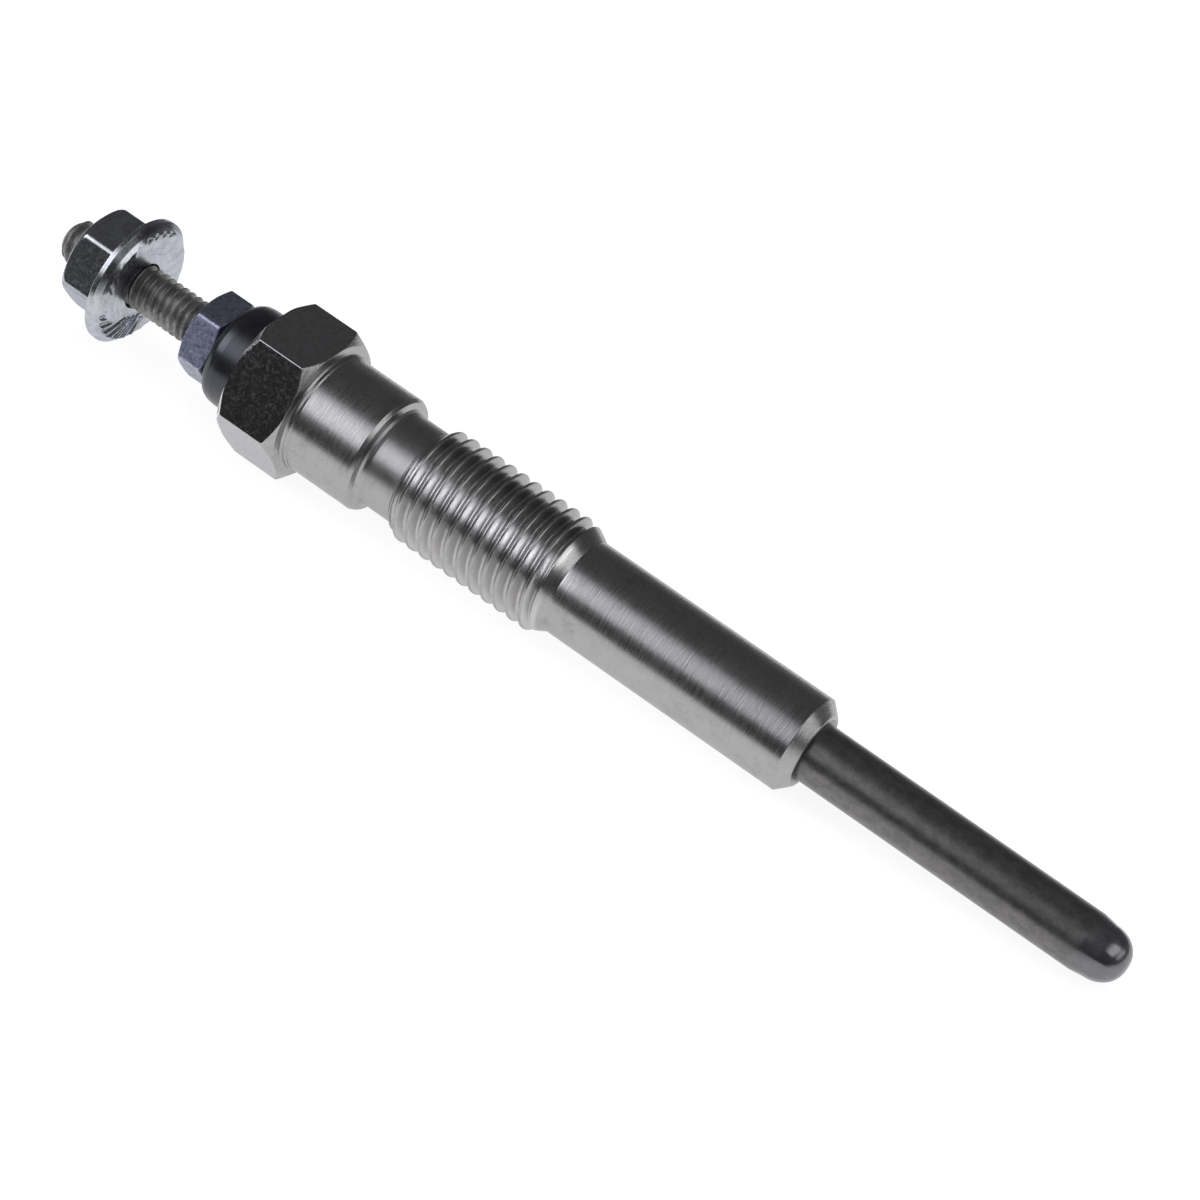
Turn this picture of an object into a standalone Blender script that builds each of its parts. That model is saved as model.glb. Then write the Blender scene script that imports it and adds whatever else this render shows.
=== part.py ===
"""Sheathed-element glow plug with a screwed terminal, lying at rest on a level surface.

Every dimension is in millimetres in the plug's own axial frame: s runs along the
axis from the terminal (negative) to the hot tip (positive), and s = 0 lies near the
front end of the body thread. The axial frame hangs under one empty, which leans the
plug by the small angle at which it comes to rest, on a hexagon flat and on the front
edge of its shank. World frame: +X towards the hot tip, +Z up, metres.
"""

import math

import bmesh
import bpy
from mathutils import Matrix

MM = 0.001

# ------------------------------------------------------------------ driving dimensions
SEGMENTS = 48  # round the turned pieces
SMOOTH_ANGLE = math.radians(28)

# body shell
HEX_AF = 12.0
HEX_TAIL_S, HEX_NOSE_S = -33.75, -27.85
SHOULDER_R, SHOULDER_END_S = 5.17, -21.25
NECK_R, NECK_END_S = 4.18, -17.55
THREAD_R, THREAD_END_S = 4.92, -3.9  # M10 x 1.25, drawn at its crest
SHANK_R, SHANK_END_S = 4.12, 19.6
BODY_END_S = 20.6
SEAL_BORE_R, SEAL_FLOOR_S = 3.40, -28.0
BODY_BORE_R = 2.55
MOUTH_R, MOUTH_FLOOR_S = 2.88, 18.6

# heater element
SHEATH_R, SHEATH_FRONT_R = 2.49, 2.41
SHEATH_REAR_S, SWAGE_S, TIP_S = 4.0, 45.6, 48.88
SHEATH_BORE_R = 2.00
POWDER_R, POWDER_REAR_S = 1.93, 8.3
SEAL_REAR_S, SEAL_FRONT_S = 4.2, 8.2
COIL_R = 1.05
REG_WIRE_R, HEAT_WIRE_R = 0.17, 0.20
REG_START_S, REG_END_S, REG_TURNS = 16.35, 30.9, 15
HEAT_START_S, HEAT_END_S, HEAT_TURNS = 31.15, 46.2, 10
COIL_POINTS = 8  # a turn
CAVITY_R = 0.27

# terminal side
STUD_END_S, ROD_FRONT_S = -54.62, 16.0
STUD_R, ROD_R, ROD_NOSE_R = 1.95, 1.70, 1.30  # M4 x 0.7 stud, plain rod, nose in the sheath
NUT_BORE_R = 2.03
BUSH_TAIL_S, BUSH_FRONT_S = -37.15, -29.6
BUSH_R, BUSH_SPIGOT_R = 4.66, 3.32
ORING_R, ORING_WIRE_R, ORING_S = 2.55, 0.72, -28.78
NUT_AF, NUT_TAIL_S, NUT_NOSE_S, NUT_TURN = 7.0, -40.1, -37.22, 3.8
FNUT_AF, FNUT_TAIL_S, FNUT_FACE_S, FNUT_TURN = 8.0, -52.15, -46.84, 4.3
FLANGE_R = 5.67

# at rest the flat's front edge and the shank's front edge both touch the surface
FLAT_END_S = -27.97
LEAN = math.atan((HEX_AF / 2 - SHANK_R) / (SHANK_END_S - FLAT_END_S))


# ------------------------------------------------------------------ scene
for old in list(bpy.data.objects):
    bpy.data.objects.remove(old, do_unlink=True)


def collection(name):
    made = bpy.data.collections.new(name)
    bpy.context.scene.collection.children.link(made)
    return made


PARTS = collection("diesel_glow_plug")
CUTTERS = collection("cutters")
CUTTERS.hide_render = True

# the axial frame: its +Z is the tip direction and its +X points down
axis = bpy.data.objects.new("plug_axis", None)
axis.empty_display_size = 0.01
PARTS.objects.link(axis)
axis.rotation_euler = (0, math.pi / 2 + LEAN, 0)
height = HEX_AF / 2 * math.cos(LEAN) + FLAT_END_S * math.sin(LEAN)
tail_x = STUD_END_S * math.cos(LEAN) - (STUD_R - 0.65) * math.sin(LEAN)
tip_x = TIP_S * math.cos(LEAN)
axis.location = (-(tail_x + tip_x) / 2 * MM, 0, height * MM)


def material(name, colour, roughness, metallic):
    made = bpy.data.materials.new(name)
    made.use_nodes = True
    shader = made.node_tree.nodes["Principled BSDF"]
    shader.inputs["Base Color"].default_value = (*colour, 1)
    shader.inputs["Roughness"].default_value = roughness
    shader.inputs["Metallic"].default_value = metallic
    made.diffuse_color = (*colour, 1)
    return made


def link(obj, mat=None, cutter=False):
    (CUTTERS if cutter else PARTS).objects.link(obj)
    obj.parent = axis
    if mat:
        obj.data.materials.append(mat)
    if cutter:
        obj.hide_render = True
        obj.display_type = "WIRE"
    return obj


def evaluated_mesh(obj):
    graph = bpy.context.evaluated_depsgraph_get()
    return bpy.data.meshes.new_from_object(obj.evaluated_get(graph))


def turned(name, outer, inner=(), mat=None, turn=0.0, cutter=False):
    """A body of revolution from lists of (radius, s), each from the terminal end to the
    tip end. A profile that comes back to the axis at either end is left open there."""
    points = list(reversed(outer)) + list(inner)
    edges = [(i, i + 1) for i in range(len(points) - 1)]
    if points[0][0] > 0 and points[-1][0] > 0:
        edges.append((len(points) - 1, 0))
    mesh = bpy.data.meshes.new(name)
    mesh.from_pydata([(r * MM, 0, s * MM) for r, s in points], edges, [])
    obj = link(bpy.data.objects.new(name, mesh), cutter=cutter)
    screw = obj.modifiers.new("turn", "SCREW")
    screw.axis = "Z"
    screw.angle = 2 * math.pi
    screw.steps = SEGMENTS
    screw.render_steps = SEGMENTS
    screw.use_merge_vertices = True
    screw.merge_threshold = 1e-6
    solid = evaluated_mesh(obj)
    obj.modifiers.clear()
    obj.data = solid
    solid.shade_smooth()
    solid.set_sharp_from_angle(angle=SMOOTH_ANGLE)
    obj.rotation_euler = (0, 0, math.radians(turn))
    if mat:
        solid.materials.append(mat)
    return obj


def hexagon_bar(name, across_flats, low, high, turn=0.0):
    """A hexagonal bar to cut with. At turn 0 it has a flat facing straight down."""
    bm = bmesh.new()
    bmesh.ops.create_cone(
        bm,
        cap_ends=True,
        segments=6,
        radius1=across_flats / math.sqrt(3) * MM,
        radius2=across_flats / math.sqrt(3) * MM,
        depth=(high - low) * MM,
        matrix=Matrix.Translation((0, 0, (high + low) / 2 * MM)),
    )
    corner = max(v.co.x for v in bm.verts)
    if corner > across_flats * 0.55 * MM:  # a corner on +X: bring a flat there instead
        bmesh.ops.rotate(bm, verts=bm.verts, matrix=Matrix.Rotation(math.pi / 6, 3, "Z"))
    mesh = bpy.data.meshes.new(name)
    bm.to_mesh(mesh)
    bm.free()
    obj = link(bpy.data.objects.new(name, mesh), cutter=True)
    obj.rotation_euler = (0, 0, math.radians(turn))
    return obj


def boolean(obj, other, operation):
    made = obj.modifiers.new(other.name, "BOOLEAN")
    made.operation = operation
    made.solver = "EXACT"
    made.object = other


def wire(name, points, radius, mat=None, cutter=False):
    """A round wire through the given points, as a closed mesh."""
    curve = bpy.data.curves.new(name, "CURVE")
    curve.dimensions = "3D"
    curve.bevel_depth = radius * MM
    curve.bevel_resolution = 1
    curve.use_fill_caps = True
    spline = curve.splines.new("POLY")
    spline.points.add(len(points) - 1)
    for point, (x, y, z) in zip(spline.points, points):
        point.co = (x * MM, y * MM, z * MM, 1)
    guide = bpy.data.objects.new(name + "_path", curve)
    PARTS.objects.link(guide)
    mesh = evaluated_mesh(guide)
    bpy.data.objects.remove(guide, do_unlink=True)
    bm = bmesh.new()
    bm.from_mesh(mesh)
    bmesh.ops.remove_doubles(bm, verts=bm.verts, dist=1e-6)
    bmesh.ops.recalc_face_normals(bm, faces=bm.faces)
    bm.to_mesh(mesh)
    bm.free()
    mesh.name = name
    mesh.shade_smooth()
    mesh.set_sharp_from_angle(angle=math.radians(60))
    return link(bpy.data.objects.new(name, mesh), mat, cutter)


def coil(start, end, turns, phase=0.0):
    count = turns * COIL_POINTS
    points = []
    for i in range(count + 1):
        angle = phase + 2 * math.pi * i / COIL_POINTS
        points.append(
            (
                COIL_R * math.cos(angle),
                COIL_R * math.sin(angle),
                start + (end - start) * i / count,
            )
        )
    return points


def beyond(before, end, distance):
    """The point this far past end, on the line from the point before it."""
    step = distance / math.dist(before, end)
    return tuple(e + (e - b) * step for b, e in zip(before, end))


# ------------------------------------------------------------------ materials
NICKEL = material("nickel_plate", (0.60, 0.59, 0.57), 0.25, 1)
SHEATH = material("sheath_alloy", (0.23, 0.22, 0.21), 0.38, 1)
STUD = material("stud_steel", (0.30, 0.29, 0.26), 0.45, 1)
ZINC = material("zinc_plate", (0.62, 0.64, 0.68), 0.30, 1)
BLUE_ZINC = material("blue_zinc_plate", (0.40, 0.42, 0.52), 0.40, 1)
BLACK = material("black_phenolic", (0.02, 0.02, 0.022), 0.30, 0)
RUBBER = material("black_rubber", (0.03, 0.03, 0.03), 0.70, 0)
POWDER = material("magnesia", (0.86, 0.85, 0.82), 0.90, 0)
WIRE = material("resistance_wire", (0.52, 0.50, 0.47), 0.35, 1)

# ------------------------------------------------------------------ body shell
# hexagon, shoulder, neck, thread and shank are one turned piece
body = turned(
    "body_shell",
    outer=[
        (6.10, HEX_TAIL_S),
        (6.35, HEX_TAIL_S + 0.15),
        (7.10, HEX_TAIL_S + 1.0),
        (7.10, HEX_NOSE_S - 0.65),
        (5.75, HEX_NOSE_S),
        (5.30, HEX_NOSE_S + 0.15),
        (SHOULDER_R, HEX_NOSE_S + 0.45),
        (SHOULDER_R, SHOULDER_END_S),
        (NECK_R + 0.22, SHOULDER_END_S + 0.47),
        (NECK_R, SHOULDER_END_S + 0.58),
        (NECK_R, NECK_END_S),
        (THREAD_R - 0.10, NECK_END_S + 0.9),
        (THREAD_R, NECK_END_S + 1.6),
        (THREAD_R, THREAD_END_S),
        (THREAD_R - 0.17, THREAD_END_S + 0.9),
        (SHANK_R - 0.02, THREAD_END_S + 1.9),
        (SHANK_R, SHANK_END_S),
        (3.30, BODY_END_S - 0.05),
        (3.20, BODY_END_S),
    ],
    inner=[
        (SEAL_BORE_R, HEX_TAIL_S),
        (SEAL_BORE_R, SEAL_FLOOR_S),
        (BODY_BORE_R, SEAL_FLOOR_S + 0.6),
        (BODY_BORE_R, MOUTH_FLOOR_S),
        (MOUTH_R, MOUTH_FLOOR_S + 0.25),
        (MOUTH_R, BODY_END_S),
    ],
    mat=NICKEL,
)
boolean(body, hexagon_bar("body_hexagon", HEX_AF, HEX_TAIL_S - 2, BODY_END_S + 2), "INTERSECT")

# ------------------------------------------------------------------ heater element
dome = []
for share in (0.25, 0.5, 0.7, 0.85, 0.95):  # swaged nose that closes in a small dome
    radius = SHEATH_FRONT_R * math.sqrt(1 - share**2.6)
    dome.append((radius, SWAGE_S + share * (TIP_S - SWAGE_S)))
turned(
    "heater_sheath",
    outer=[
        (SHEATH_R - 0.15, SHEATH_REAR_S),
        (SHEATH_R, SHEATH_REAR_S + 0.2),
        (SHEATH_FRONT_R, SWAGE_S),
        *dome,
        (0, TIP_S),
    ],
    inner=[
        (SHEATH_BORE_R, SHEATH_REAR_S),
        (SHEATH_BORE_R, SWAGE_S + 0.4),
        (1.55, SWAGE_S + 1.5),
        (0, SWAGE_S + 2.1),
    ],
    mat=SHEATH,
)
turned(
    "sheath_seal",
    outer=[
        (POWDER_R - 0.15, SEAL_REAR_S),
        (POWDER_R, SEAL_REAR_S + 0.2),
        (POWDER_R, SEAL_FRONT_S),
    ],
    inner=[
        (ROD_NOSE_R + 0.06, SEAL_REAR_S),
        (ROD_NOSE_R + 0.06, SEAL_FRONT_S),
    ],
    mat=RUBBER,
)
powder = turned(
    "magnesia_fill",
    outer=[
        (POWDER_R, POWDER_REAR_S),
        (POWDER_R, SWAGE_S + 0.33),
        (1.50, SWAGE_S + 1.40),
        (0, SWAGE_S + 2.0),
    ],
    inner=[
        (ROD_NOSE_R + 0.06, POWDER_REAR_S),
        (ROD_NOSE_R + 0.06, ROD_FRONT_S + 0.2),
        (0, ROD_FRONT_S + 0.2),
    ],
    mat=POWDER,
)
regulating = coil(REG_START_S, REG_END_S, REG_TURNS)
heating = coil(HEAT_START_S, HEAT_END_S, HEAT_TURNS, phase=math.radians(20))
wire("regulating_coil", regulating, REG_WIRE_R, WIRE)
wire("heating_coil", heating, HEAT_WIRE_R, WIRE)
# the powder is packed round both coils, which run on from each other; the cavity runs
# a little past both ends and opens into the rod's bore
cavity = [beyond(regulating[1], regulating[0], 0.12), *regulating[1:], *heating[:-1]]
cavity.append(beyond(heating[-2], heating[-1], 0.12))
boolean(powder, wire("coil_cavity", cavity, CAVITY_R, cutter=True), "DIFFERENCE")

# ------------------------------------------------------------------ terminal side
turned(
    "centre_rod",
    outer=[
        (0, STUD_END_S),
        (STUD_R - 0.65, STUD_END_S),
        (STUD_R, STUD_END_S + 0.52),
        (STUD_R, -34.4),
        (ROD_R, -34.1),
        (ROD_R, 1.6),
        (ROD_NOSE_R, 2.2),
        (ROD_NOSE_R, ROD_FRONT_S - 0.2),
        (ROD_NOSE_R - 0.2, ROD_FRONT_S),
        (0, ROD_FRONT_S),
    ],
    mat=STUD,
)
ring = []
for i in range(12):
    angle = -2 * math.pi * i / 12
    ring.append(
        (
            ORING_R + ORING_WIRE_R * math.cos(angle),
            ORING_S + ORING_WIRE_R * math.sin(angle),
        )
    )
turned("body_seal_ring", outer=list(reversed(ring)), mat=RUBBER)
turned(
    "insulating_bush",
    outer=[
        (3.70, BUSH_TAIL_S),
        (4.10, BUSH_TAIL_S + 0.05),
        (4.40, BUSH_TAIL_S + 0.30),
        (4.58, BUSH_TAIL_S + 0.75),
        (BUSH_R, BUSH_TAIL_S + 1.5),
        (BUSH_R, HEX_TAIL_S - 0.08),
        (BUSH_SPIGOT_R, HEX_TAIL_S - 0.08),
        (BUSH_SPIGOT_R, BUSH_FRONT_S),
    ],
    inner=[
        (STUD_R + 0.07, BUSH_TAIL_S),
        (STUD_R + 0.07, BUSH_FRONT_S),
    ],
    mat=BLACK,
)
nut = turned(
    "terminal_hex_nut",
    outer=[
        (3.50, NUT_TAIL_S),
        (4.15, NUT_TAIL_S + 0.45),
        (4.15, NUT_NOSE_S - 0.38),
        (3.50, NUT_NOSE_S),
    ],
    inner=[(NUT_BORE_R, NUT_TAIL_S), (NUT_BORE_R, NUT_NOSE_S)],
    mat=BLUE_ZINC,
)
boolean(
    nut,
    hexagon_bar("nut_hexagon", NUT_AF, NUT_TAIL_S - 1, NUT_NOSE_S + 1, NUT_TURN),
    "INTERSECT",
)

# the flange nut: a chamfered hexagon joined to a turned flange
flange_nut = turned(
    "terminal_flange_nut",
    outer=[
        (3.70, FNUT_TAIL_S),
        (4.10, FNUT_TAIL_S + 0.10),
        (4.45, FNUT_TAIL_S + 0.50),
        (4.80, FNUT_TAIL_S + 1.10),
        (4.80, FNUT_FACE_S - 1.10),
    ],
    inner=[(NUT_BORE_R, FNUT_TAIL_S), (NUT_BORE_R, FNUT_FACE_S - 1.10)],
    mat=ZINC,
)
boolean(
    flange_nut,
    hexagon_bar("flange_nut_hexagon", FNUT_AF, FNUT_TAIL_S - 1, FNUT_FACE_S + 1, FNUT_TURN),
    "INTERSECT",
)
boolean(
    flange_nut,
    turned(
        "flange_disc",
        outer=[
            (4.30, FNUT_FACE_S - 1.75),
            (5.06, FNUT_FACE_S - 1.52),
            (FLANGE_R, FNUT_FACE_S - 1.21),
            (FLANGE_R, FNUT_FACE_S - 0.77),
            (5.15, FNUT_FACE_S - 0.28),
            (4.96, FNUT_FACE_S),
        ],
        inner=[
            (NUT_BORE_R + 0.30, FNUT_FACE_S - 1.75),
            (NUT_BORE_R + 0.30, FNUT_FACE_S),
        ],
        cutter=True,
    ),
    "UNION",
)
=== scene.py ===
"""Looks of the glow plug: fine surfaces, materials, studio and camera, round the CAD frame."""

import math

import bpy
import numpy as np
from mathutils import Matrix, Vector


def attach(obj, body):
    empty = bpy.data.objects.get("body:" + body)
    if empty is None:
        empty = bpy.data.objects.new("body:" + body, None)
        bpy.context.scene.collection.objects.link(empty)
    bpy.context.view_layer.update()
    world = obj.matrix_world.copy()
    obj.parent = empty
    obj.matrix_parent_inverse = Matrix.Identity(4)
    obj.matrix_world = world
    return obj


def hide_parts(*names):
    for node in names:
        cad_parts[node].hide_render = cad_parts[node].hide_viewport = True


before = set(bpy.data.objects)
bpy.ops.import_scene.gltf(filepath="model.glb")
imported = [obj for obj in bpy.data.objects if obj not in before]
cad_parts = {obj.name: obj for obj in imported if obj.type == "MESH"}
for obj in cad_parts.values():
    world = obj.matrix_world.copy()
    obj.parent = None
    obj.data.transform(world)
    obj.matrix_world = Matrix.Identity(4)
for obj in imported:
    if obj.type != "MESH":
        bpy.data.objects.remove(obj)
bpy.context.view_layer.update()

MM = 0.001

# ------------------------------------------------------------------ the plug's axial frame
# s runs along the axis towards the tip, in millimetres; local +X points down
HEX_AF = 12.0
SHANK_R, SHANK_END_S, FLAT_END_S = 4.12, 19.6, -27.97
STUD_END_S, STUD_R, TIP_S = -54.62, 1.95, 48.88
LEAN = math.atan((HEX_AF / 2 - SHANK_R) / (SHANK_END_S - FLAT_END_S))
HEIGHT = HEX_AF / 2 * math.cos(LEAN) + FLAT_END_S * math.sin(LEAN)
TAIL_X = STUD_END_S * math.cos(LEAN) - (STUD_R - 0.65) * math.sin(LEAN)
TIP_X = TIP_S * math.cos(LEAN)
AXIS = Matrix.Translation((-(TAIL_X + TIP_X) / 2 * MM, 0, HEIGHT * MM)) @ Matrix.Rotation(
    math.pi / 2 + LEAN, 4, "Y"
)
ALONG = (AXIS.to_3x3() @ Vector((0, 0, 1))).normalized()
UP = (AXIS.to_3x3() @ Vector((-1, 0, 0))).normalized()
SIDE = Vector((0, -1, 0))  # the side that the camera stands on


# ------------------------------------------------------------------ mesh helpers
def fillet_line(points, per_arc=5, support=0.035):
    """A polyline (s, r, fillet radius) with its corners rounded, and support points beside
    each arc so that smooth shading stays on the arc."""
    out = []
    pts = [np.array(p[:2], float) for p in points]
    for i, p in enumerate(pts):
        radius = points[i][2] if len(points[i]) > 2 else 0.0
        if i in (0, len(pts) - 1) or radius <= 0:
            out.append(tuple(p))
            continue
        a, b = pts[i - 1] - p, pts[i + 1] - p
        la, lb = np.linalg.norm(a), np.linalg.norm(b)
        a, b = a / la, b / lb
        cosine = float(np.clip(np.dot(a, b), -1, 1))
        half = math.acos(cosine) / 2
        if half > math.radians(89):
            out.append(tuple(p))
            continue
        reach = min(radius / math.tan(half), 0.48 * la, 0.48 * lb)
        r = reach * math.tan(half)
        centre = p + (a + b) / np.linalg.norm(a + b) * (r / math.sin(half))
        start, end = p + a * reach, p + b * reach
        v0, v1 = start - centre, end - centre
        turn = math.atan2(v0[0] * v1[1] - v0[1] * v1[0], float(np.dot(v0, v1)))
        if support and la > 2.2 * reach + support * 2:
            out.append(tuple(start + a * support))
        for k in range(per_arc + 1):
            t = turn * k / per_arc
            c, s = math.cos(t), math.sin(t)
            out.append(tuple(centre + np.array([c * v0[0] - s * v0[1], s * v0[0] + c * v0[1]])))
        if support and lb > 2.2 * reach + support * 2:
            out.append(tuple(end + b * support))
    clean = [out[0]]
    for p in out[1:]:
        if math.dist(p, clean[-1]) > 1e-5:
            clean.append(p)
    return clean


def densify(line, step):
    """Points added so that no stretch of the line is longer than step."""
    out = [line[0]]
    for p, q in zip(line, line[1:]):
        n = max(1, int(math.ceil(math.dist(p, q) / step - 1e-9)))
        for k in range(1, n + 1):
            out.append((p[0] + (q[0] - p[0]) * k / n, p[1] + (q[1] - p[1]) * k / n))
    return out


def grid_piece(name, s, r, theta, close=False, material=None, pole_start=False, pole_end=False):
    """A closed surface from (rows x columns) arrays of s and r in mm at the angles theta.
    Rows run along the profile with the metal on their left as s grows."""
    rows, cols = r.shape
    theta = np.broadcast_to(theta, r.shape)
    verts = np.stack([r * np.cos(theta), r * np.sin(theta), s], axis=-1).reshape(-1, 3) * MM
    index = np.arange(rows * cols).reshape(rows, cols)
    last = rows if close else rows - 1
    i = np.arange(last)[:, None]
    j = np.arange(cols)[None, :]
    a = index[i, j]
    b = index[i, (j + 1) % cols]
    c = index[(i + 1) % rows, (j + 1) % cols]
    d = index[(i + 1) % rows, j]
    quads = np.stack([a, b, c, d], axis=-1).reshape(-1, 4)
    tris = []
    extra = []
    if pole_start:
        extra.append([0, 0, float(s[0].mean()) * MM])
        k = len(verts) + len(extra) - 1
        for q in range(cols):
            tris.append((k, index[0, (q + 1) % cols], index[0, q]))
    if pole_end:
        extra.append([0, 0, float(s[-1].mean()) * MM])
        k = len(verts) + len(extra) - 1
        for q in range(cols):
            tris.append((k, index[-1, q], index[-1, (q + 1) % cols]))
    if extra:
        verts = np.concatenate([verts, np.array(extra)])
    placed = np.array(AXIS)
    verts = verts @ placed[:3, :3].T + placed[:3, 3]
    mesh = bpy.data.meshes.new(name)
    mesh.vertices.add(len(verts))
    mesh.vertices.foreach_set("co", verts.astype(np.float32).ravel())
    loops = quads.ravel()
    sizes = np.full(len(quads), 4)
    if tris:
        loops = np.concatenate([loops, np.array(tris).ravel()])
        sizes = np.concatenate([sizes, np.full(len(tris), 3)])
    mesh.loops.add(len(loops))
    mesh.loops.foreach_set("vertex_index", loops.astype(np.int32))
    mesh.polygons.add(len(sizes))
    starts = np.concatenate([[0], np.cumsum(sizes)[:-1]])
    mesh.polygons.foreach_set("loop_start", starts.astype(np.int32))
    mesh.polygons.foreach_set("loop_total", sizes.astype(np.int32))
    mesh.update(calc_edges=True)
    mesh.validate()
    mesh.shade_smooth()
    obj = bpy.data.objects.new(name, mesh)
    bpy.context.scene.collection.objects.link(obj)
    if material:
        mesh.materials.append(material)
    return obj


def smooth_min(a, b, k):
    h = np.clip(0.5 + 0.5 * (b - a) / k, 0, 1)
    return b * (1 - h) + a * h - k * h * (1 - h)


def smooth_step(x, low, high):
    t = np.clip((x - low) / (high - low), 0, 1)
    return t * t * (3 - 2 * t)


def hex_radius(theta, across_flats, turn, edge):
    """Polar radius of a hexagon with rounded corners; at turn 0 a flat faces down."""
    a = across_flats / 2
    delta = (np.degrees(theta) - turn + 30.0) % 60.0 - 30.0  # from the flat's middle
    eps = np.radians(30.0 - np.abs(delta))  # from the corner
    d = (a - edge) / math.cos(math.pi / 6)
    limit = math.atan2(edge * 0.5, d + edge * math.cos(math.pi / 6))
    arc = d * np.cos(eps) + np.sqrt(np.maximum(edge**2 - (d * np.sin(eps)) ** 2, 0))
    flat = a / np.cos(np.radians(delta))
    return np.where(eps < limit, arc, flat)


def hex_angles(turn, offsets):
    """Angles for the columns, close together at the corners."""
    found = set()
    for k in range(6):
        corner = turn + 30 + 60 * k
        for o in offsets:
            found.add(round((corner + o) % 360, 4))
            found.add(round((corner - o) % 360, 4))
    return np.radians(np.array(sorted(found)))


# ------------------------------------------------------------------ materials
def new_material(name):
    made = bpy.data.materials.new(name)
    made.use_nodes = True
    tree = made.node_tree
    return made, tree, tree.nodes["Principled BSDF"]


class Nodes:
    """A little help for writing node trees."""

    def __init__(self, tree):
        self.tree = tree
        self.links = tree.links

    def add(self, kind, **values):
        node = self.tree.nodes.new(kind)
        for key, value in values.items():
            setattr(node, key, value)
        return node

    def feed(self, socket, value):
        if hasattr(value, "is_output") or isinstance(value, bpy.types.NodeSocket):
            self.links.new(value, socket)
        else:
            socket.default_value = value

    def coordinates(self):
        """The point in the plug's axial frame, in metres: z runs along the axis."""
        node = self.add("ShaderNodeMapping", vector_type="TEXTURE")
        self.feed(node.inputs["Vector"], self.add("ShaderNodeTexCoord").outputs["Object"])
        node.inputs["Location"].default_value = AXIS.translation
        node.inputs["Rotation"].default_value = AXIS.to_euler()
        return node.outputs["Vector"]

    def scaled(self, vector, scale, offset=(0, 0, 0)):
        node = self.add("ShaderNodeMapping")
        self.feed(node.inputs["Vector"], vector)
        node.inputs["Scale"].default_value = scale
        node.inputs["Location"].default_value = offset
        return node.outputs["Vector"]

    def noise(self, vector, scale, detail=3.0, rough=0.55, distortion=0.0):
        node = self.add("ShaderNodeTexNoise")
        self.feed(node.inputs["Vector"], vector)
        node.inputs["Scale"].default_value = scale
        node.inputs["Detail"].default_value = detail
        node.inputs["Roughness"].default_value = rough
        node.inputs["Distortion"].default_value = distortion
        return node.outputs["Fac"]

    def voronoi(self, vector, scale, feature="F1", randomness=1.0):
        node = self.add("ShaderNodeTexVoronoi", feature=feature)
        self.feed(node.inputs["Vector"], vector)
        node.inputs["Scale"].default_value = scale
        node.inputs["Randomness"].default_value = randomness
        return node.outputs["Distance"]

    def math(self, operation, a, b=0.0, clamp=False):
        node = self.add("ShaderNodeMath", operation=operation, use_clamp=clamp)
        self.feed(node.inputs[0], a)
        self.feed(node.inputs[1], b)
        return node.outputs[0]

    def ramp(self, value, low, high, to_low=0.0, to_high=1.0, smooth=True):
        node = self.add("ShaderNodeMapRange")
        node.interpolation_type = "SMOOTHSTEP" if smooth else "LINEAR"
        self.feed(node.inputs["Value"], value)
        node.inputs["From Min"].default_value = low
        node.inputs["From Max"].default_value = high
        node.inputs["To Min"].default_value = to_low
        node.inputs["To Max"].default_value = to_high
        return node.outputs["Result"]

    def mix(self, factor, a, b):
        node = self.add("ShaderNodeMix", data_type="RGBA")
        self.feed(node.inputs["Factor"], factor)
        for key, value in (("A", a), ("B", b)):
            socket = [s for s in node.inputs if s.name == key and s.type == "RGBA"][0]
            if isinstance(value, tuple):
                value = (*value, 1.0) if len(value) == 3 else value
            self.feed(socket, value)
        return [s for s in node.outputs if s.type == "RGBA"][0]

    def separate(self, vector):
        node = self.add("ShaderNodeSeparateXYZ")
        self.feed(node.inputs[0], vector)
        return node.outputs

    def bump(self, height, strength, distance, normal=None):
        node = self.add("ShaderNodeBump")
        node.inputs["Strength"].default_value = strength
        node.inputs["Distance"].default_value = distance
        self.feed(node.inputs["Height"], height)
        if normal is not None:
            self.feed(node.inputs["Normal"], normal)
        return node.outputs["Normal"]


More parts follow.
